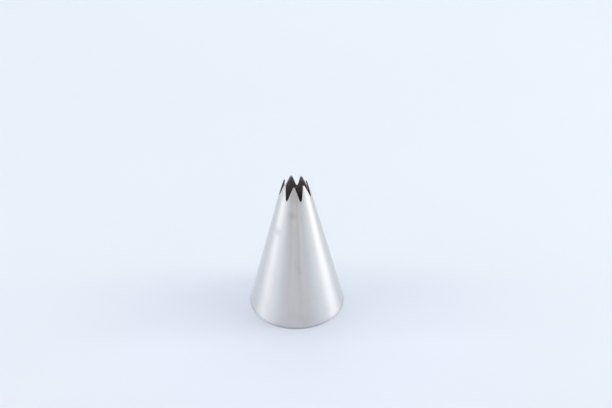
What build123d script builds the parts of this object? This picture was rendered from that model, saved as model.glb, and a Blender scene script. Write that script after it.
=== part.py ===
from build123d import *
from math import asin, atan2, cos, degrees, hypot, pi, radians, sin, tan
import os

# Open star piping nozzle of thin steel sheet, standing on the wide end of its cone.
# Millimetres, +Z up through the star, origin at the middle of the base edge, front towards -Y.

# Driving sizes of the cone, all on its outside
base_radius = 17.0
height = 50.4
crown_radius = 5.45
sheet = 0.45
base_edge_rounding = 0.12

# Driving sizes of the star crown; its angles are in degrees, those round the axis from +X
tooth_count = 7
front_tooth_angle = -95.6
tooth_length = 4.76
tip_radius = 3.95
tip_width = 0.6
tip_corner_depth = 0.08
tip_corner_rounding = 0.2
tip_corner_angle = 50
notch_bottom_rounding = 0.33
crown_bend_radius = 12.0

# Driving sizes of the butt weld that closes the cone
seam_width = 0.4
bead_height = 0.1

# How far a cutting tool reaches past the metal
overrun = 1.0

# Sizes worked out from the driving ones
crown_height = height - tooth_length
cone_lean = atan2(base_radius - crown_radius, crown_height)
tooth_lean = atan2(crown_radius - tip_radius, tooth_length)
tooth_angle = 360 / tooth_count
first_notch_angle = front_tooth_angle + tooth_angle / 2
seam_angle = first_notch_angle + (tooth_count // 2) * tooth_angle


def wall_section(thickness):
    """Half section of the wall: a straight cone whose crown bends inwards, cut level at both ends."""
    middle_lean = (cone_lean + tooth_lean) / 2
    mitre = thickness / cos((tooth_lean - cone_lean) / 2)
    inner_base = (base_radius - thickness / cos(cone_lean), 0)
    inner_bend = (crown_radius - mitre * cos(middle_lean), crown_height - mitre * sin(middle_lean))
    inner_tip = (tip_radius - thickness / cos(tooth_lean), height)
    with BuildSketch(Plane.XZ) as section:
        with BuildLine():
            outside = FilletPolyline(
                (base_radius, 0),
                (crown_radius, crown_height),
                (tip_radius, height),
                radius=crown_bend_radius,
            )
            inside = FilletPolyline(inner_base, inner_bend, inner_tip, radius=crown_bend_radius - thickness)
            Line(outside @ 0, inside @ 0)
            Line(outside @ 1, inside @ 1)
        make_face()
        fillet(section.vertices().group_by(Axis.Y)[0], radius=base_edge_rounding)
    return section.sketch


# Cutter for one notch: a V with a round bottom, its mouth flared to round off the tooth tips
notch_half_width = tip_radius * sin(pi / tooth_count) - tip_width / 2
notch_centre_height = crown_height + notch_bottom_rounding
notch_rise = height - notch_centre_height
notch_lean = atan2(notch_half_width, notch_rise) - asin(
    notch_bottom_rounding / hypot(notch_half_width, notch_rise)
)
notch_foot = (
    notch_bottom_rounding * cos(notch_lean),
    notch_centre_height - notch_bottom_rounding * sin(notch_lean),
)
notch_shoulder = (
    notch_half_width - tip_corner_depth * tan(notch_lean),
    height - tip_corner_depth,
)
notch_mouth = (
    notch_shoulder[0] + (tip_corner_depth + overrun) * tan(radians(tip_corner_angle)),
    height + overrun,
)

with BuildPart() as notch_cutter:
    with BuildSketch(Plane.YZ):
        with BuildLine():
            side = FilletPolyline(notch_foot, notch_shoulder, notch_mouth, radius=tip_corner_rounding)
            mirror(side, about=Plane.YZ)
            ThreePointArc(notch_foot, (0, crown_height), (-notch_foot[0], notch_foot[1]))
            Line(notch_mouth, (-notch_mouth[0], notch_mouth[1]))
        make_face()
    extrude(amount=crown_radius + overrun)

# Slab that holds the weld, from the axis outwards along one straight line of the cone
with BuildPart(Plane.XY.rotated((0, 0, seam_angle))) as seam_slab:
    Box(
        base_radius + overrun,
        seam_width,
        height,
        align=(Align.MIN, Align.CENTER, Align.MIN),
    )

# Shell: the sheet rolled into a cone, its star cut and bent inwards, open along the seam
with BuildPart() as nozzle_shell:
    add(wall_section(sheet))
    revolve(axis=Axis.Z)
    with PolarLocations(0, tooth_count, start_angle=first_notch_angle):
        add(notch_cutter.part, mode=Mode.SUBTRACT)
    add(seam_slab.part, mode=Mode.SUBTRACT)

# Weld: fills the seam flush with the outside and stands a little proud inside
with BuildPart() as seam_weld:
    add(wall_section(sheet + bead_height))
    revolve(axis=Axis.Z)
    add(seam_slab.part, mode=Mode.INTERSECT)
    with Locations(Plane.XY.rotated((0, 0, seam_angle))):
        add(notch_cutter.part, mode=Mode.SUBTRACT)

nozzle_shell.part.label = "nozzle_shell"
seam_weld.part.label = "seam_weld"

os.makedirs("parts", exist_ok=True)
export_step(nozzle_shell.part, "parts/nozzle_shell.step")
export_step(seam_weld.part, "parts/seam_weld.step")

print("cone half angle, degrees", round(degrees(cone_lean), 2))
print("tooth slope, degrees", round(degrees(tooth_lean), 2))
print("notch half angle, degrees", round(degrees(notch_lean), 2))
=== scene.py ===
"""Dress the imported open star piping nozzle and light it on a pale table.

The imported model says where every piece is. This script builds a finer skin for the shell and its seam
weld in the same place, gives each its finish, and adds the table, the lamps and the camera. Lengths are in
millimetres until a mesh, a lamp or the camera is made from them. Heights run up the nozzle's axis from its
base edge. Bearings turn about that axis from +X, in degrees unless a docstring says radians, and the front
of the nozzle faces -Y.
"""

from __future__ import annotations

import logging
import math
from collections.abc import Mapping, Sequence
from dataclasses import dataclass, field
from enum import Enum, IntEnum

import bmesh
import bpy
from mathutils import Matrix, Vector


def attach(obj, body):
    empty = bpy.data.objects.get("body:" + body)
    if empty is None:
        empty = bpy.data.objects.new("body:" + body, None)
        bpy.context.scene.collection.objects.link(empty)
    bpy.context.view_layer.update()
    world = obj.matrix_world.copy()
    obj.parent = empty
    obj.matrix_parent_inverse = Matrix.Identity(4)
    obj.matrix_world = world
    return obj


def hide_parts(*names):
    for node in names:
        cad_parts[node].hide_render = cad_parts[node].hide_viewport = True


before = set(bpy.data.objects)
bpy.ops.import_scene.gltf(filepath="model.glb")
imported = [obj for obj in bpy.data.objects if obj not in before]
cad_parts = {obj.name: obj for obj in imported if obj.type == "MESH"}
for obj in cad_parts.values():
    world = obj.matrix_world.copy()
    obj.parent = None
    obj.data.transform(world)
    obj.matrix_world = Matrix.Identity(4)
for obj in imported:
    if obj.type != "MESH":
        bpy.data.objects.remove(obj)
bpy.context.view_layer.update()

MM = 0.001
Point = tuple[float, float, float]
Colour = tuple[float, float, float]
log = logging.getLogger("piping_nozzle")


# Shader maths

# The value that a noise texture varies around
NOISE_MIDDLE = 0.5


class Wire:
    """A shader socket that can be used as a value in sums and products."""

    def __init__(self, sheet: ShaderSheet, socket: bpy.types.NodeSocket | None) -> None:
        """Wrap an output socket of a sheet, or None where a node has no output."""
        self.sheet = sheet
        self.socket = socket

    def __add__(self, other: Wire | float) -> Wire:
        """Return the sum."""
        return self.sheet.maths("ADD", self, other)

    def __radd__(self, other: float) -> Wire:
        """Return the sum with a number in front."""
        return self.sheet.maths("ADD", other, self)

    def __sub__(self, other: Wire | float) -> Wire:
        """Return the difference."""
        return self.sheet.maths("SUBTRACT", self, other)

    def __rsub__(self, other: float) -> Wire:
        """Return a number less this value."""
        return self.sheet.maths("SUBTRACT", other, self)

    def __mul__(self, other: Wire | float) -> Wire:
        """Return the product."""
        return self.sheet.maths("MULTIPLY", self, other)

    def __rmul__(self, other: float) -> Wire:
        """Return the product with a number in front."""
        return self.sheet.maths("MULTIPLY", other, self)

    def clamped(self) -> Wire:
        """Return this value held between 0 and 1."""
        return self.sheet.node("ShaderNodeClamp", None, {"Value": self})

    def ramp(self, low: float, high: float) -> Wire:
        """Return a smooth step of this value.

        Args:
            low: The value at which the step starts.
            high: The value at which the step ends.

        Returns:
            0 below low, 1 above high, and a smooth rise between them.
        """
        settings = {"interpolation_type": "SMOOTHSTEP"}
        values = {"Value": self, "From Min": low, "From Max": high}
        return self.sheet.node("ShaderNodeMapRange", settings, values, "Result")


class ShaderSheet:
    """The node tree of one material or of the world, filled through short calls."""

    def __init__(self, tree: bpy.types.NodeTree) -> None:
        """Take over a node tree and empty it."""
        self.tree = tree
        tree.nodes.clear()

    def node(
        self,
        kind: str,
        settings: Mapping[str, object] | None = None,
        sockets: Mapping[str | int, object] | None = None,
        result: str | int = 0,
    ) -> Wire:
        """Add a node.

        Args:
            kind: The node's type.
            settings: The node's own settings, which are made before its sockets are filled.
            sockets: A value or a wire for each input socket, by its name or number.
            result: The name or number of the output socket to return.

        Returns:
            The chosen output, or an empty wire where the node has no output.
        """
        made = self.tree.nodes.new(kind)
        for name, value in (settings or {}).items():
            setattr(made, name, value)
        for name, value in (sockets or {}).items():
            if isinstance(value, Wire):
                self.tree.links.new(value.socket, made.inputs[name])
            else:
                made.inputs[name].default_value = value
        return Wire(self, made.outputs[result] if made.outputs else None)

    def maths(self, operation: str, *values: Wire | float) -> Wire:
        """Add a Math node with its inputs in order, and return its value."""
        return self.node("ShaderNodeMath", {"operation": operation}, dict(enumerate(values)))

    def vector_maths(self, operation: str, result: str, sockets: Mapping[str | int, object]) -> Wire:
        """Add a Vector Math node, and return its Vector or its Value."""
        return self.node("ShaderNodeVectorMath", {"operation": operation}, sockets, result)

    def stretched(self, vector: Wire, x: float, y: float, z: float) -> Wire:
        """Return a vector with each of its parts multiplied."""
        return self.vector_maths("MULTIPLY", "Vector", {0: vector, 1: (x, y, z)})

    def part(self, vector: Wire, axis: str) -> Wire:
        """Return the X, Y or Z of a vector."""
        return self.node("ShaderNodeSeparateXYZ", None, {0: vector}, axis)

    def place(self) -> Wire:
        """Return the place on the piece, in millimetres."""
        seat = self.node("ShaderNodeTexCoord", result="Object")
        return self.vector_maths("SCALE", "Vector", {0: seat, "Scale": 1 / MM})

    def noise(self, place: Wire, pitch: float, detail: float, distortion: float = 0.0) -> Wire:
        """Return a noise texture with lumps a pitch apart, which varies around NOISE_MIDDLE."""
        sockets = {"Vector": place, "Scale": 1 / pitch, "Detail": detail, "Distortion": distortion}
        return self.node("ShaderNodeTexNoise", {"noise_dimensions": "3D"}, sockets)

    def colour_between(self, share: Wire, low: Wire | Colour, high: Wire | Colour) -> Wire:
        """Mix two colours.

        Args:
            share: How much of the second colour there is, from 0 to 1.
            low: The colour at share 0, as a wire or as linear red, green and blue.
            high: The colour at share 1.

        Returns:
            The mixed colour.
        """
        # A Mix node keeps its colour inputs and its colour output after those of its other data types
        factor, first, second, mixed = 0, 6, 7, 2
        low, high = (colour if isinstance(colour, Wire) else (*colour, 1.0) for colour in (low, high))
        sockets = {factor: share, first: low, second: high}
        return self.node("ShaderNodeMix", {"data_type": "RGBA"}, sockets, mixed)

    def surface(self, sockets: Mapping[str | int, object]) -> None:
        """Add the surface's shader with these sockets, and the output that shows it."""
        shader = self.node("ShaderNodeBsdfPrincipled", None, sockets)
        self.node("ShaderNodeOutputMaterial", None, {"Surface": shader})


def new_material(name: str) -> tuple[bpy.types.Material, ShaderSheet]:
    """Make an empty material.

    Args:
        name: The material's name.

    Returns:
        The material and the sheet that fills its nodes.
    """
    material = bpy.data.materials.new(name)
    material.use_nodes = True
    return material, ShaderSheet(material.node_tree)


def shaded(colour: Colour, share: float) -> Colour:
    """Return a share of a colour."""
    return tuple(share * part for part in colour)


# Finishes


@dataclass(frozen=True)
class TouchMark:
    """A faint round smear that a finger left on the steel."""

    bearing: float
    height: float
    radius: float
    size: float
    strength: float

    def share(self, sheet: ShaderSheet, place: Wire) -> Wire:
        """Return how strong the mark is.

        Args:
            sheet: The material's sheet.
            place: The place on the steel, in millimetres.

        Returns:
            The mark's strength, 0 outside it.
        """
        turn = math.radians(self.bearing)
        middle = (self.radius * math.cos(turn), self.radius * math.sin(turn), self.height)
        distance = sheet.vector_maths("DISTANCE", "Value", {0: place, 1: middle})
        return (1.0 - distance.ramp(0.0, self.size)) * self.strength


@dataclass(frozen=True)
class DrawnStreak:
    """A faint streak that fades towards the base, left where the sheet slid over its die.

    A streak of negative strength is bright.
    """

    bearing: float
    half_width: float
    strength: float
    full_height: float = 22.0

    def share(self, sheet: ShaderSheet, place: Wire) -> Wire:
        """Return how strong the streak is.

        Args:
            sheet: The material's sheet.
            place: The place on the steel, in millimetres.

        Returns:
            The streak's strength, 0 beside it.
        """
        x, y, z = (sheet.part(place, axis) for axis in "XYZ")
        turn = sheet.maths("ARCTAN2", y, x) * math.degrees(1.0)
        away = sheet.maths("ABSOLUTE", turn - self.bearing)
        return (1.0 - away.ramp(0.0, self.half_width)) * z.ramp(0.0, self.full_height) * self.strength


@dataclass(frozen=True)
class SteelFinish:
    """Stainless steel with fine lines round the axis, faint streaks and smears and an uneven gloss.

    Fine lines lie in wider bands. Dullness runs from 0, all tint, to 1, all dull_tint. A rim is the lowest
    part of a piece and a dimmed crown its highest, each darkened by its own share of the tint as painted
    shade: at the rim for the shadow where it meets the table, at the crown to dim its highlights.
    """

    name: str
    tint: Colour = (0.735, 0.725, 0.73)
    dull_tint: Colour = (0.675, 0.665, 0.67)
    edge_tint: Colour = (0.98, 0.99, 1.0)
    dullness: float = 0.4
    metallic: float = 1.0
    roughness: float = 0.41
    anisotropy: float = 0.92
    line_turn: float = 0.25
    line_pitch: float = 0.12
    line_height: float = 0.0006
    line_squeeze: float = 0.03
    lines_in_band: float = 8.0
    band_rise: float = 2.0
    band_share: float = 0.4
    grain_roughness: float = 0.08
    swell_pitch: float = 3.0
    swell_height: float = 0.003
    smear_pitch: float = 5.5
    smear_twist: float = 0.8
    smear_from: float = 0.48
    smear_to: float = 0.72
    smear_strength: float = 0.35
    smear_roughness: float = 0.06
    streaks_per_radian: float = 14.0
    streak_drift: float = 0.004
    streak_strength: float = 0.6
    mark_roughness: float = 0.12
    rim_height: float = 0.0
    rim_start: float = 0.1
    rim_shade: float = 0.76
    rim_roughness: float = 0.08
    dim_crown_height: float = 0.0
    dim_crown_rise: float = 4.0
    crown_painted_shade: float = 0.96
    dim_crown_roughness: float = 0.14
    marks: tuple[TouchMark | DrawnStreak, ...] = ()

    def material(self) -> bpy.types.Material:
        """Build the material.

        Returns:
            The finished material.
        """
        material, sheet = new_material(self.name)
        place = sheet.place()
        squeezed = sheet.stretched(place, self.line_squeeze, self.line_squeeze, 1.0)
        lines = sheet.noise(squeezed, self.line_pitch, detail=2.0)
        bands = sheet.noise(squeezed, self.lines_in_band * self.line_pitch, detail=3.0)
        swell = sheet.noise(place, self.swell_pitch, detail=2.0)
        patches = sheet.noise(place, self.smear_pitch, detail=4.0, distortion=self.smear_twist)
        smear = patches.ramp(self.smear_from, self.smear_to) * self.smear_strength
        dull = self.dullness + smear + self.drawing(sheet, place)
        grain = (lines - NOISE_MIDDLE) * (1 - self.band_share) + (bands - NOISE_MIDDLE) * self.band_share
        roughness = self.roughness + grain * self.grain_roughness + smear * self.smear_roughness
        for mark in self.marks:
            share = mark.share(sheet, place)
            dull = dull + share
            roughness = roughness + share * self.mark_roughness
        colour = sheet.colour_between(dull.clamped(), self.tint, self.dull_tint)
        up = sheet.part(place, "Z")
        # The crown's colour is darkened as painted shade: outside it dims the highlights, inside it darkens
        # the crown's hollow. It is also made rougher.
        if self.dim_crown_height:
            dim_crown = up.ramp(self.dim_crown_height, self.dim_crown_height + self.dim_crown_rise)
            colour = sheet.colour_between(dim_crown, colour, shaded(self.tint, self.crown_painted_shade))
            roughness = roughness + dim_crown * self.dim_crown_roughness
        # The rim's colour is darkened as painted shade for the dark line of the table's shadow along the
        # foot, and the rim is made rougher.
        if self.rim_height:
            rim = 1.0 - up.ramp(self.rim_start * self.rim_height, self.rim_height)
            colour = sheet.colour_between(rim, colour, shaded(self.tint, self.rim_shade))
            roughness = roughness + rim * self.rim_roughness
        sockets = {
            "Base Color": colour,
            "Metallic": self.metallic,
            "Roughness": roughness,
            "Specular Tint": (*self.edge_tint, 1.0),
            "Anisotropic": self.anisotropy,
            "Anisotropic Rotation": self.line_turn,
            "Normal": self.relief(sheet, lines, bands, swell),
        }
        sheet.surface(sockets)
        return material

    def relief(self, sheet: ShaderSheet, lines: Wire, bands: Wire, swell: Wire) -> Wire:
        """Return the bump of the steel's surface.

        Args:
            sheet: The material's sheet.
            lines: The noise of the fine lines.
            bands: The noise of the wider bands.
            swell: The noise of the slow swell under both.

        Returns:
            The bumped normal.
        """
        height = lines * self.line_height + bands * (self.band_rise * self.line_height)
        height = height + swell * self.swell_height
        return sheet.node("ShaderNodeBump", None, {"Strength": 1.0, "Distance": MM, "Height": height})

    def drawing(self, sheet: ShaderSheet, place: Wire) -> Wire:
        """Return the faint uneven streaks that run up the whole cone.

        Args:
            sheet: The material's sheet.
            place: The place on the steel, in millimetres.

        Returns:
            The streaks' strength, around 0.
        """
        level = sheet.stretched(place, 1.0, 1.0, 0.0)
        around = sheet.vector_maths("NORMALIZE", "Vector", {0: level})
        drift = sheet.stretched(place, 0.0, 0.0, self.streak_drift)
        where = sheet.vector_maths("ADD", "Vector", {0: around, 1: drift})
        streaks = sheet.noise(where, 1 / self.streaks_per_radian, detail=3.0)
        return (streaks - NOISE_MIDDLE) * self.streak_strength


class Course(Enum):
    """The way in which a painted grade of light or shade on the paper runs."""

    BACKWARDS = "along +Y"
    OUTWARDS = "away from the nozzle's axis"


@dataclass(frozen=True)
class PaintedLightGrade:
    """A soft change of the paper's colour between two distances, taken along its course, painted in as light
    or shade.
    """

    course: Course
    start: float
    end: float
    colour: Colour

    def share(self, sheet: ShaderSheet, place: Wire) -> Wire:
        """Return how far the change has gone.

        Args:
            sheet: The material's sheet.
            place: The place on the paper, in millimetres.

        Returns:
            0 before the start, 1 past the end, and a smooth rise between them.
        """
        if self.course is Course.BACKWARDS:
            reach = sheet.part(place, "Y")
        else:
            reach = sheet.vector_maths("LENGTH", "Value", {0: place})
        return reach.ramp(self.start, self.end)


@dataclass(frozen=True)
class PaperFinish:
    """Matt paper, faintly mottled, whose colour may be softly graded with painted light and shade."""

    name: str
    colour: Colour
    light_grades: tuple[PaintedLightGrade, ...] = ()
    mottle_pitch: float = 60.0
    mottle_shade: float = 0.015
    roughness: float = 0.9
    gloss: float = 0.2

    def material(self) -> bpy.types.Material:
        """Build the material.

        Returns:
            The finished material.
        """
        material, sheet = new_material(self.name)
        place = sheet.place()
        colour: Wire | Colour = self.colour
        # Each grade paints light or shade into the paper's colour
        for light_grade in self.light_grades:
            colour = sheet.colour_between(light_grade.share(sheet, place), colour, light_grade.colour)
        mottle = 1.0 - sheet.noise(place, self.mottle_pitch, detail=2.0) * self.mottle_shade
        sockets = {
            "Base Color": sheet.vector_maths("SCALE", "Vector", {0: colour, "Scale": mottle}),
            "Roughness": self.roughness,
            "Specular IOR Level": self.gloss,
        }
        sheet.surface(sockets)
        return material


Finish = SteelFinish | PaperFinish


# Shape of the sheet


def between(low: float, high: float, share: float) -> float:
    """Return the value at a share of the way from low to high."""
    return low + (high - low) * share


@dataclass(frozen=True)
class Wave:
    """One slow wave round the cone, whose phase moves on by a radian in each pitch of height."""

    strength: float
    count: int
    phase: float
    pitch: float = math.inf

    def swing(self, bearing: float, height: float) -> float:
        """Return the wave's swing at a bearing in radians and a height."""
        return self.strength * math.sin(self.count * bearing + self.phase + height / self.pitch)


@dataclass(frozen=True)
class SheetCone:
    """The rolled sheet: a straight cone whose crown bends inwards, level at both ends.

    A depth is measured into the sheet from its outside, square to the wall. The wall's unevenness has waves
    that run round the cone, and fainter rings up it that sway.
    """

    base_radius: float = 17.0
    height: float = 50.4
    crown_radius: float = 5.45
    tooth_length: float = 4.76
    tip_radius: float = 3.95
    sheet: float = 0.45
    bend_radius: float = 12.0
    base_rounding: float = 0.12
    unevenness: float = 0.025
    waves: tuple[Wave, ...] = (Wave(1.0, 2, 0.7), Wave(0.6, 3, -1.9, 9.0), Wave(0.35, 7, 0.4, -5.0))
    ring_strength: float = 0.3
    ring_pitch: float = 3.1
    ring_sway: float = 2.0

    @property
    def crown_height(self) -> float:
        """Return the height of the notch bottoms."""
        return self.height - self.tooth_length

    @property
    def cone_lean(self) -> float:
        """Return the lean of the cone's wall from the axis, in radians."""
        return math.atan2(self.base_radius - self.crown_radius, self.crown_height)

    @property
    def tooth_lean(self) -> float:
        """Return the lean of the teeth from the axis, in radians."""
        return math.atan2(self.crown_radius - self.tip_radius, self.tooth_length)

    def radius(self, height: float, depth: float) -> float:
        """Return the distance from the axis to a point in the sheet.

        Args:
            height: The point's height.
            depth: The point's depth in the sheet.

        Returns:
            The distance from the axis.
        """
        middle_lean = (self.cone_lean + self.tooth_lean) / 2
        reach = self.bend_radius / math.cos((self.tooth_lean - self.cone_lean) / 2)
        centre_radius = self.crown_radius - reach * math.cos(middle_lean)
        centre_height = self.crown_height - reach * math.sin(middle_lean)
        bend = self.bend_radius - depth
        if height < centre_height + bend * math.sin(self.cone_lean):
            return self.base_radius - height * math.tan(self.cone_lean) - depth / math.cos(self.cone_lean)
        if height > centre_height + bend * math.sin(self.tooth_lean):
            above = self.height - height
            return self.tip_radius + above * math.tan(self.tooth_lean) - depth / math.cos(self.tooth_lean)
        return centre_radius + math.sqrt(bend**2 - (height - centre_height) ** 2)

    def base_corner(self, depth: float, steps: int) -> list[tuple[float, float]]:
        """Return the rounding at the foot of the wall.

        Args:
            depth: 0 for the outside corner, or the sheet's thickness for the inside one.
            steps: The number of steps along the rounding.

        Returns:
            Pairs of radius and height, from the flat of the base edge up to the wall.
        """
        rounding = self.base_rounding
        outwards = 1 if depth == 0 else -1
        middle = self.radius(rounding, depth) - outwards * rounding / math.cos(self.cone_lean)
        end = math.pi / 2 + outwards * self.cone_lean
        turns = [end * step / steps for step in range(steps + 1)]
        return [
            (middle + outwards * rounding * math.sin(turn), rounding * (1 - math.cos(turn))) for turn in turns
        ]

    def point(self, radius: float, turn: float, height: float) -> Point:
        """Return the settled point at a distance from the axis, a bearing in radians and a height."""
        return self.settle((radius * math.cos(turn), radius * math.sin(turn), height))

    def settle(self, point: Point) -> Point:
        """Give a point its share of the slight unevenness that rolling and polishing leave.

        Args:
            point: A point of the true cone.

        Returns:
            The point moved a little towards or away from the axis, and not at all at the base edge or crown.
        """
        x, y, height = point
        bearing = math.atan2(y, x)
        fade = math.sin(math.pi * min(max(height / self.crown_height, 0.0), 1.0))
        swing = sum(wave.swing(bearing, height) for wave in self.waves)
        swing += self.ring_strength * math.sin(height / self.ring_pitch + self.ring_sway * math.cos(bearing))
        grow = 1 + self.unevenness * fade * swing / math.hypot(x, y)
        return (x * grow, y * grow, height)


@dataclass(frozen=True)
class Notch:
    """The V cut between two teeth, with a round bottom and a flared mouth, seen square to the wall."""

    bottom: float
    top: float
    half_width: float
    bottom_rounding: float = 0.33
    corner_depth: float = 0.08
    corner_rounding: float = 0.2
    corner_lean: float = math.radians(50)
    bottom_steps: int = 8
    side_steps: int = 20
    corner_steps: int = 4

    @property
    def lean(self) -> float:
        """Work out the lean of the V's sides.

        Returns:
            The lean from the axis, in radians.
        """
        rise = self.top - self.bottom - self.bottom_rounding
        reach = math.hypot(self.half_width, rise)
        return math.atan2(self.half_width, rise) - math.asin(self.bottom_rounding / reach)

    def floor(self, inset: float, sideways: float) -> float:
        """Return the height of the V's round bottom, at an inset into the metal and beside its middle."""
        reach = self.bottom_rounding + inset
        return self.bottom + self.bottom_rounding - math.sqrt(reach**2 - sideways**2)

    def side(self, inset: float, start: float) -> list[tuple[float, float]]:
        """Return the line up one side of the V.

        Args:
            inset: How far into the metal the line runs from the cut edge.
            start: The distance from the V's middle at which the line starts.

        Returns:
            Pairs of distance from the V's middle and height, from its bottom to the tooth's top.
        """
        reach = self.bottom_rounding + inset
        first = math.asin(start / reach)
        last = math.pi / 2 - self.lean
        middle_height = self.bottom + self.bottom_rounding
        line = []
        for step in range(self.bottom_steps + 1):
            turn = first + (last - first) * step / self.bottom_steps
            line.append((reach * math.sin(turn), middle_height - reach * math.cos(turn)))
        corner = [self.corner_point(inset, step / self.corner_steps) for step in range(self.corner_steps + 1)]
        foot, shoulder = line[-1], corner[0]
        for step in range(1, self.side_steps):
            share = step / self.side_steps
            line.append(tuple(between(low, high, share) for low, high in zip(foot, shoulder)))
        mouth_height = self.top - inset
        mouth = corner[-1][0] + (mouth_height - corner[-1][1]) * math.tan(self.corner_lean)
        return [*line, *corner, (mouth, mouth_height)]

    def corner_point(self, inset: float, share: float) -> tuple[float, float]:
        """Return a point of the rounding between the V's side and its flared mouth.

        Args:
            inset: How far into the metal the point lies from the cut edge.
            share: How far along the rounding it lies, from 0 to 1.

        Returns:
            The point's distance from the V's middle, and its height.
        """
        lean = self.lean
        shoulder = self.half_width - self.corner_depth * math.tan(lean)
        back = self.corner_rounding * math.tan((self.corner_lean - lean) / 2)
        middle = shoulder - back * math.sin(lean) + self.corner_rounding * math.cos(lean)
        middle_height = self.top - self.corner_depth - back * math.cos(lean)
        middle_height -= self.corner_rounding * math.sin(lean)
        turn = between(lean, self.corner_lean, share)
        rounding = self.corner_rounding - inset
        return (middle - rounding * math.cos(turn), middle_height + rounding * math.sin(turn))


@dataclass(frozen=True)
class StarCone:
    """The sizes that the shell and its weld share: the sheet, its notches and the seam."""

    cone: SheetCone = SheetCone()
    tooth_count: int = 7
    front_tooth_bearing: float = -95.6
    tip_width: float = 0.6
    edge_rounding: float = 0.045
    rim_steps: int = 3
    seam_half_width: float = 0.2
    bead_height: float = 0.1

    @property
    def half_tooth(self) -> float:
        """Return half the turn from one tooth to the next, in radians."""
        return math.pi / self.tooth_count

    @property
    def notch(self) -> Notch:
        """Return the V that every pair of teeth has between them."""
        half_width = self.cone.tip_radius * math.sin(self.half_tooth) - self.tip_width / 2
        return Notch(self.cone.crown_height, self.cone.height, half_width)

    @property
    def seam_number(self) -> int:
        """Return the number of the notch at which the seam ends."""
        return self.tooth_count // 2

    def notch_bearing(self, number: int) -> float:
        """Return the bearing of a notch in radians, counted from the one after the front tooth."""
        return math.radians(self.front_tooth_bearing) + (2 * number + 1) * self.half_tooth

    def rims(self) -> list[tuple[float, float]]:
        """Return the section of the crown's cut edge, with both its corners rounded.

        Returns:
            Pairs of inset from the cut and depth in the sheet, from its outside to its inside.
        """
        rounding = self.edge_rounding
        turns = [math.pi / 2 * step / self.rim_steps for step in range(self.rim_steps + 1)]
        outer = [(rounding * (1 - math.sin(turn)), rounding * (1 - math.cos(turn))) for turn in turns]
        inner = [(inset, self.cone.sheet - depth) for inset, depth in reversed(outer)]
        return outer + inner

    def wall_point(self, bearing: float, sideways: float, height: float, depth: float) -> Point:
        """Return the point of the sheet beside the plane through the axis and a bearing in radians."""
        radius = self.cone.radius(height, depth)
        return self.cone.point(radius, bearing + math.asin(sideways / radius), height)


# Meshes


class Face(IntEnum):
    """The finish that a face of a steel piece takes, by its place in the piece's list of finishes."""

    OUTSIDE = 0
    INSIDE = 1
    CUT = 2


def add_object(name: str, mesh: bmesh.types.BMesh, finishes: Sequence[Finish]) -> bpy.types.Object:
    """Turn a finished mesh into an object of the scene.

    Args:
        name: The object's name.
        mesh: The mesh, which is used up.
        finishes: The object's finishes.

    Returns:
        The object.
    """
    data = bpy.data.meshes.new(name)
    mesh.to_mesh(data)
    mesh.free()
    for finish in finishes:
        data.materials.append(finish.material())
    piece = bpy.data.objects.new(name, data)
    bpy.context.collection.objects.link(piece)
    return piece


@dataclass
class Skin:
    """A closed skin of faces, gathered patch by patch and joined where the patches meet."""

    mesh: bmesh.types.BMesh = field(default_factory=bmesh.new)
    joined_within: float = 1e-4
    even_weight: int = 90

    def vertices(self, points: Sequence[Point]) -> list[bmesh.types.BMVert]:
        """Add a vertex at each of the points."""
        return [self.mesh.verts.new(Vector(point) * MM) for point in points]

    def patch(self, rows: Sequence[Sequence[Point]], face: Face) -> None:
        """Add a grid of four-sided faces.

        Args:
            rows: Rows of points, all of one length.
            face: The finish of the faces.
        """
        grid = [self.vertices(row) for row in rows]
        for low, high in zip(grid, grid[1:]):
            for corner in range(len(low) - 1):
                ring = (low[corner], low[corner + 1], high[corner + 1], high[corner])
                self.mesh.faces.new(ring).material_index = face

    def cap(self, ring: Sequence[Point], face: Face) -> None:
        """Add one flat face with the given points round it."""
        self.mesh.faces.new(self.vertices(ring)).material_index = face

    def piece(self, name: str, finishes: Sequence[Finish]) -> bpy.types.Object:
        """Join the patches into one object with smooth shading.

        Args:
            name: The object's name.
            finishes: The finishes in the order of Face.

        Returns:
            The object, in the scene.
        """
        bmesh.ops.remove_doubles(self.mesh, verts=self.mesh.verts, dist=self.joined_within * MM)
        bmesh.ops.recalc_face_normals(self.mesh, faces=self.mesh.faces)
        open_edges = sum(not edge.is_manifold for edge in self.mesh.edges)
        if open_edges:
            raise ValueError(f"{name} has {open_edges} open edges")
        for face in self.mesh.faces:
            face.smooth = True
        piece = add_object(name, self.mesh, finishes)
        even = piece.modifiers.new("even_shading", "WEIGHTED_NORMAL")
        even.weight = self.even_weight
        even.keep_sharp = True
        return piece


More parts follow.
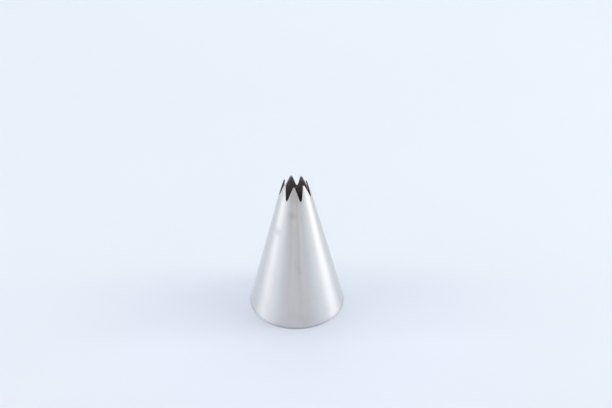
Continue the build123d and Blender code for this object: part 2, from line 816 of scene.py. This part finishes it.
@dataclass(frozen=True)
class HalfSector:
    """The part of the shell from one notch to the middle of the tooth beside it.

    Its hand is 1 for the tooth after the notch, and -1 for the tooth before it.
    """

    star: StarCone
    number: int
    hand: int
    columns: int
    wall_rows: int
    corner_steps: int

    @property
    def bearing(self) -> float:
        """Return the bearing of the notch, in radians."""
        return self.star.notch_bearing(self.number)

    @property
    def gap(self) -> float:
        """Return how far from the notch's middle the wall starts, to leave room for half a weld."""
        return self.star.seam_half_width if self.number == self.star.seam_number else 0.0

    def across(
        self, edge: float, low: float, high: float, depth: float, radius: float | None = None
    ) -> list[Point]:
        """Return one row of points from the notch to the middle of the tooth.

        Args:
            edge: The distance from the notch's middle at which the row starts.
            low: The height at which it starts.
            high: The height at which it ends.
            depth: Its depth in the sheet.
            radius: Its distance from the axis, where that isn't the plain wall's.

        Returns:
            The row's points.
        """
        cone = self.star.cone
        start = math.asin(edge / (radius or cone.radius(low, depth)))
        row = []
        for step in range(self.columns + 1):
            share = step / self.columns
            height = between(low, high, share)
            turn = self.bearing + self.hand * between(start, self.star.half_tooth, share)
            row.append(cone.point(radius or cone.radius(height, depth), turn, height))
        return row

    def wall(self, depth: float) -> list[list[Point]]:
        """Return one face of the sheet.

        Args:
            depth: 0 for the outside, or the sheet's thickness for the inside.

        Returns:
            Rows of points, from the base edge to the top of the tooth.
        """
        notch = self.star.notch
        side = notch.side(self.star.edge_rounding, self.gap)
        plain = notch.side(self.star.edge_rounding, 0.0)
        corner = self.star.cone.base_corner(depth, self.corner_steps)
        foot = corner[-1][1]
        rows = [self.across(self.gap, height, height, depth, radius) for radius, height in corner]
        for step in range(1, self.wall_rows):
            low, high = (between(foot, line[0][1], step / self.wall_rows) for line in (side, plain))
            rows.append(self.across(self.gap, low, high, depth))
        for (edge, low), (_, high) in zip(side, plain):
            rows.append(self.across(edge, low, high, depth))
        return rows

    def rims(self) -> list[list[Point]]:
        """Return the cut edge of the crown.

        Returns:
            Rows of points along the edge, from the outside of the sheet to its inside.
        """
        star, bearing = self.star, self.bearing
        rows = []
        for inset, depth in star.rims():
            side = star.notch.side(inset, self.gap)
            row = [star.wall_point(bearing, self.hand * edge, height, depth) for edge, height in side]
            mouth, top = side[-1]
            rows.append(row + self.across(mouth, top, top, depth)[1:])
        return rows

    def add_to(self, skin: Skin) -> None:
        """Add the faces of the half sector.

        Args:
            skin: The skin to add to.
        """
        outside, inside = self.wall(0.0), self.wall(self.star.cone.sheet)
        rims = self.rims()
        skin.patch(outside, Face.OUTSIDE)
        skin.patch(inside, Face.INSIDE)
        skin.patch([outside[0], inside[0]], Face.CUT)
        skin.patch(rims, Face.CUT)
        if self.gap:
            seam_rows = self.corner_steps + self.wall_rows + 1
            skin.patch([[row[0] for row in wall[:seam_rows]] for wall in (outside, inside)], Face.CUT)
            skin.cap([row[0] for row in rims], Face.CUT)


@dataclass(frozen=True)
class NozzleShell:
    """The sheet rolled into a cone, with its star cut and bent, open along the seam."""

    star: StarCone
    outside: SteelFinish
    inside: SteelFinish
    cut: SteelFinish
    columns: int = 16
    wall_rows: int = 30
    corner_steps: int = 3

    def build(self) -> bpy.types.Object:
        """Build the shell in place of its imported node.

        Returns:
            The shell.
        """
        skin = Skin()
        for number in range(self.star.tooth_count):
            for hand in (1, -1):
                sector = HalfSector(self.star, number, hand, self.columns, self.wall_rows, self.corner_steps)
                sector.add_to(skin)
        piece = skin.piece("shell_skin", (self.outside, self.inside, self.cut))
        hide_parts("nozzle_shell")
        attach(piece, "root")
        return piece


@dataclass(frozen=True)
class SeamWeld:
    """The weld that fills the seam: dressed flush outside, a low rippled bead inside.

    The bead and the sink of its outside fade out over the end_fade at the base edge and at the notch.
    """

    star: StarCone
    outside: SteelFinish
    inside: SteelFinish
    cut: SteelFinish
    columns: int = 6
    wall_rows: int = 240
    corner_steps: int = 3
    ripple_pitch: float = 0.5
    ripple_bow: float = 2.0
    ripple_share: float = 0.3
    sink: float = 0.012
    end_fade: float = 1.0

    def fade(self, height: float, top: float) -> float:
        """Return how far the bead or the sink has grown at a height of a weld that ends at its top."""
        return max(min(height, top - height, self.end_fade), 0.0) / self.end_fade

    def bead_depth(self, share: float, height: float) -> float:
        """Return how deep the inside of the weld lies.

        Args:
            share: The distance from the middle of the weld, as a share of its half width.
            height: The height on the weld.

        Returns:
            The depth from the outside of the sheet.
        """
        cone = self.star.cone
        crown = 1 - share**2
        wave = math.cos(2 * math.pi * height / self.ripple_pitch + self.ripple_bow * share**2)
        ripple = 1 - self.ripple_share * (0.5 + 0.5 * wave)
        return cone.sheet + self.star.bead_height * crown * ripple * self.fade(height, cone.crown_height)

    def section(self, sideways: float) -> tuple[list[Point], list[Point], list[Point]]:
        """Return the section of the weld in one plane along the seam.

        Args:
            sideways: The plane's distance from the middle of the weld.

        Returns:
            The points up the outside, those over the cut end, and those down the inside, which meet.
        """
        star = self.star
        cone = star.cone
        bearing = star.notch_bearing(star.seam_number)
        share = abs(sideways) / star.seam_half_width
        rims = [
            star.wall_point(bearing, sideways, star.notch.floor(inset, sideways), depth)
            for inset, depth in star.rims()
        ]
        top = star.notch.floor(star.edge_rounding, sideways)
        walls = []
        for depth, outwards in ((0.0, True), (cone.sheet, False)):
            corner = cone.base_corner(depth, self.corner_steps)
            line = []
            for radius, height in corner:
                line.append(cone.point(radius, bearing + math.asin(sideways / radius), height))
            for step in range(1, self.wall_rows):
                height = between(corner[-1][1], top, step / self.wall_rows)
                dip = self.sink * (1 - share**2) * self.fade(height, top)
                deep = dip if outwards else self.bead_depth(share, height)
                line.append(star.wall_point(bearing, sideways, height, deep))
            walls.append(line)
        up, down = walls
        return [*up, rims[0]], rims, [rims[-1], *down[::-1], up[0]]

    def build(self) -> bpy.types.Object:
        """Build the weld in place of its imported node.

        Returns:
            The weld.
        """
        skin = Skin()
        half = self.star.seam_half_width
        sections = [self.section(half * (2 * step / self.columns - 1)) for step in range(self.columns + 1)]
        for face, lines in zip((Face.OUTSIDE, Face.CUT, Face.INSIDE), zip(*sections)):
            skin.patch(lines, face)
        for up, over, down in (sections[0], sections[-1]):
            skin.cap(up[:-1] + over[:-1] + down[:-1], Face.CUT)
        piece = skin.piece("seam_bead", (self.outside, self.inside, self.cut))
        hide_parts("seam_weld")
        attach(piece, "root")
        return piece


# Studio

# Brightness of a strip that lights nothing, but still hides the pale room from the steel's reflections
UNLIT = 0.001


@dataclass(frozen=True)
class SoftBox:
    """A tall curved soft lamp round the nozzle, made of upright strips that stand side by side.

    It runs between two bearings and between two heights.
    """

    name: str
    bearings: tuple[float, float]
    heights: tuple[float, float]
    colour: Colour
    brightness: tuple[float, ...]
    distance: float = 600.0

    def build(self) -> None:
        """Put the strips in the scene, each at its own brightness."""
        first, last = self.bearings
        low, high = self.heights
        turn = math.radians(last - first) / len(self.brightness)
        width, tall = self.distance * abs(turn), high - low
        for number, brightness in enumerate(self.brightness):
            lamp = bpy.data.lights.new(f"{self.name}_{number}", "AREA")
            lamp.shape = "RECTANGLE"
            lamp.size = width * MM
            lamp.size_y = tall * MM
            # A flat lamp's energy is pi times its brightness and its area in square metres
            lamp.energy = brightness * math.pi * width * tall * MM**2
            lamp.color = self.colour
            strip = bpy.data.objects.new(lamp.name, lamp)
            bearing = math.radians(first) + turn * (number + 0.5)
            out = Vector((math.cos(bearing), math.sin(bearing), 0.0))
            strip.location = (out * self.distance + Vector((0, 0, (low + high) / 2))) * MM
            strip.rotation_euler = out.to_track_quat("Z", "Y").to_euler()
            strip.visible_camera = False
            bpy.context.collection.objects.link(strip)


@dataclass(frozen=True)
class Table:
    """A wide round sheet of paper that the nozzle stands on, with its rings closest at the middle."""

    finish: PaperFinish
    radius: float = 590.0
    rings: int = 24
    sides: int = 96

    def build(self) -> bpy.types.Object:
        """Lay the paper down.

        Returns:
            The table.
        """
        mesh = bmesh.new()
        middle = mesh.verts.new((0.0, 0.0, 0.0))
        turns = [2 * math.pi * side / self.sides for side in range(self.sides)]
        loops = []
        for ring in range(1, self.rings + 1):
            reach = self.radius * (ring / self.rings) ** 2 * MM
            loops.append([mesh.verts.new((reach * math.cos(t), reach * math.sin(t), 0.0)) for t in turns])
        for side in range(self.sides):
            after = (side + 1) % self.sides
            mesh.faces.new((middle, loops[0][side], loops[0][after]))
            for inner, outer in zip(loops, loops[1:]):
                mesh.faces.new((inner[side], outer[side], outer[after], inner[after]))
        piece = add_object("table_paper", mesh, [self.finish])
        return piece


@dataclass(frozen=True)
class DarkCard:
    """A dull curved card that stands behind the camera and keeps the room's light from the front."""

    finish: PaperFinish
    first_bearing: float = -122.0
    last_bearing: float = -58.0
    distance: float = 620.0
    foot: float = 1.0
    height: float = 700.0
    steps: int = 24

    def build(self) -> bpy.types.Object:
        """Stand the card up.

        Returns:
            The card.
        """
        mesh = bmesh.new()
        columns = []
        for step in range(self.steps + 1):
            turn = math.radians(between(self.first_bearing, self.last_bearing, step / self.steps))
            x, y = self.distance * math.cos(turn) * MM, self.distance * math.sin(turn) * MM
            columns.append([mesh.verts.new((x, y, z * MM)) for z in (self.foot, self.height)])
        for left, right in zip(columns, columns[1:]):
            mesh.faces.new((left[0], right[0], right[1], left[1])).smooth = True
        piece = add_object("front_card", mesh, [self.finish])
        piece.visible_camera = False
        return piece


@dataclass(frozen=True)
class Surroundings:
    """The even light of the white room, and the pale colour that is seen past the table."""

    light: Colour = (0.965, 0.955, 1.0)
    strength: float = 0.644
    seen: Colour = (0.813, 0.863, 0.913)

    def build(self) -> None:
        """Fill the world's nodes."""
        world = bpy.data.worlds.new("white_room")
        world.use_nodes = True
        bpy.context.scene.world = world
        sheet = ShaderSheet(world.node_tree)
        path = "ShaderNodeLightPath"
        seen = sheet.node(path, result="Is Camera Ray") + sheet.node(path, result="Is Glossy Ray")
        seen = seen + sheet.node(path, result="Is Transmission Ray")
        room = {"Color": (*self.light, 1.0), "Strength": self.strength}
        backdrop = {"Color": (*self.seen, 1.0), "Strength": 1.0}
        lit = sheet.node("ShaderNodeBackground", None, room)
        shown = sheet.node("ShaderNodeBackground", None, backdrop)
        mixed = sheet.node("ShaderNodeMixShader", None, {0: seen, 1: lit, 2: shown})
        sheet.node("ShaderNodeOutputWorld", None, {"Surface": mixed})


@dataclass(frozen=True)
class Viewpoint:
    """The camera, at the photograph's place and angle, with its pitch and roll in radians."""

    place: Point = (3.54, -235.14, 204.92)
    pitch: float = -0.6079
    roll: float = -0.0081
    lens: float = 50.0
    sensor: float = 36.0
    nearest: float = 10.0
    farthest: float = 10000.0

    def build(self) -> bpy.types.Object:
        """Put the camera in the scene and look through it.

        Returns:
            The camera.
        """
        data = bpy.data.cameras.new("photo_view")
        data.lens = self.lens
        data.sensor_width = self.sensor
        data.clip_start = self.nearest * MM
        data.clip_end = self.farthest * MM
        camera = bpy.data.objects.new("photo_view", data)
        forward = Vector((0.0, math.cos(self.pitch), math.sin(self.pitch)))
        level = Vector((1.0, 0.0, 0.0))
        upright = level.cross(forward)
        right = level * math.cos(self.roll) + upright * math.sin(self.roll)
        turn = Matrix((right, right.cross(forward), -forward)).transposed().to_4x4()
        camera.matrix_world = Matrix.Translation(Vector(self.place) * MM) @ turn
        bpy.context.collection.objects.link(camera)
        bpy.context.scene.camera = camera
        return camera


def studio_lamps() -> tuple[SoftBox, ...]:
    """Choose the lamps round the nozzle.

    Returns:
        Soft boxes on the left, on the right, on the shoulder from there to the front, and at the rear.
    """
    warm, cream, cool = (1.0, 0.995, 0.96), (1.0, 1.0, 0.955), (0.92, 1.0, 0.99)
    left, right, shoulder, rear = (156.0, 236.0), (28.0, -20.0), (-20.0, -54.0), (152.0, 32.0)
    low, high = (5.0, 300.0), (300.0, 1000.0)
    left_low = (0.17, 0.61, 1.24, 1.72, 1.48, 0.88, 0.63, 0.57, 0.3, UNLIT)
    left_high = (0.12, 0.66, 1.13, 1.32, 1.12, 0.73, 0.39, 0.14, UNLIT, UNLIT)
    return (
        SoftBox("left_low", left, low, warm, left_low),
        SoftBox("left_high", left, (300.0, 950.0), warm, left_high),
        SoftBox("right_low", right, low, cream, (0.13, 1.3, 2.26, 2.32, 1.48, 0.6)),
        SoftBox("right_high", right, high, cream, (0.57, 1.54, 2.14, 2.04, 1.38, 0.65)),
        SoftBox("shoulder_low", shoulder, low, cream, (0.3, 0.37, UNLIT)),
        SoftBox("shoulder_high", shoulder, high, cream, (0.2, 0.04, UNLIT)),
        SoftBox("rear", rear, (300.0, 900.0), cool, (0.84, 1.06, 0.86)),
    )


def table_paper() -> PaperFinish:
    """Choose the paper of the table.

    Returns:
        Pale blue paper, with painted shade beside the nozzle, and painted light that makes it bluer in front
        and lighter far behind it.
    """
    # Painted light and shade: shade beside the nozzle, bluer light in front, more light far behind
    light_grades = (
        PaintedLightGrade(Course.BACKWARDS, -27.0, -14.0, (0.78, 0.841, 0.943)),
        PaintedLightGrade(Course.OUTWARDS, 34.0, 96.0, (0.804, 0.867, 0.947)),
        PaintedLightGrade(Course.BACKWARDS, 2.0, 22.0, (0.807, 0.873, 0.939)),
        PaintedLightGrade(Course.BACKWARDS, 140.0, 360.0, (0.84, 0.91, 0.97)),
    )
    return PaperFinish("pale_paper", colour=(0.815, 0.88, 0.985), light_grades=light_grades)


def satin_outside() -> SteelFinish:
    """Choose the finish of the shell's outside.

    Returns:
        Satin steel with a rim and a crown darkened as painted shade, three drawn streaks and five touch
        marks.
    """
    marks = (
        DrawnStreak(bearing=-101.5, half_width=4.5, strength=0.35, full_height=44.0),
        DrawnStreak(bearing=-85.5, half_width=5.0, strength=0.4),
        DrawnStreak(bearing=-77.0, half_width=3.5, strength=-0.3),
        TouchMark(bearing=-136.5, height=34.0, radius=8.4, size=2.6, strength=1.35),
        TouchMark(bearing=-100.5, height=41.2, radius=6.6, size=2.2, strength=1.0),
        TouchMark(bearing=-87.5, height=22.6, radius=11.3, size=1.0, strength=0.5),
        TouchMark(bearing=-83.9, height=20.9, radius=11.7, size=1.0, strength=0.5),
        TouchMark(bearing=-98.5, height=4.9, radius=15.8, size=1.6, strength=0.4),
    )
    return SteelFinish("satin_outside", rim_height=1.1, dim_crown_height=43.5, marks=marks)


def plain_inside() -> SteelFinish:
    """Choose the finish of the inside of the shell and the weld.

    Returns:
        Darker plain steel, darkest in the crown, where it is darkened as painted shade.
    """
    return SteelFinish(
        "plain_inside",
        tint=(0.64, 0.59, 0.6),
        dull_tint=(0.53, 0.49, 0.49),
        metallic=0.55,
        roughness=0.26,
        anisotropy=0.3,
        dim_crown_height=44.5,
        dim_crown_rise=3.5,
        crown_painted_shade=0.7,
        dim_crown_roughness=0.0,
    )


def cut_edge() -> SteelFinish:
    """Choose the finish of the cut edges.

    Returns:
        Much darker steel, its dark tint painted shade for the dim room above that the cut faces reflect; its
        highlights aren't stretched.
    """
    # The cut faces' dark tint is painted shade
    return SteelFinish(
        "cut_edge", tint=(0.26, 0.25, 0.25), dull_tint=(0.22, 0.21, 0.21), roughness=0.3, anisotropy=0.0
    )


def dressed_weld() -> SteelFinish:
    """Choose the finish of the weld's outside.

    Returns:
        Steel a little glossier than the sheet beside it, with deeper lines and the same rim darkened as
        painted shade.
    """
    return SteelFinish("dressed_weld", roughness=0.36, anisotropy=0.2, line_height=0.0012, rim_height=1.1)


def report(piece: bpy.types.Object) -> None:
    """Log a finished piece and its size in millimetres."""
    size = ", ".join(f"{part / MM:.2f}" for part in piece.dimensions)
    log.info("%s built, %s mm", piece.name, size)


def main() -> None:
    """Build the studio and the nozzle, piece by piece."""
    logging.basicConfig(level=logging.INFO, format="%(name)s: %(message)s")
    bpy.context.scene.view_settings.view_transform = "Standard"
    Viewpoint().build()
    Surroundings().build()
    for lamp in studio_lamps():
        lamp.build()
    report(Table(table_paper()).build())
    report(DarkCard(PaperFinish("dull_card", colour=(0.82, 0.755, 0.7))).build())

    star, inside, cut = StarCone(), plain_inside(), cut_edge()
    report(NozzleShell(star, satin_outside(), inside, cut).build())
    report(SeamWeld(star, dressed_weld(), inside, cut).build())


if __name__ == "__main__":
    main()
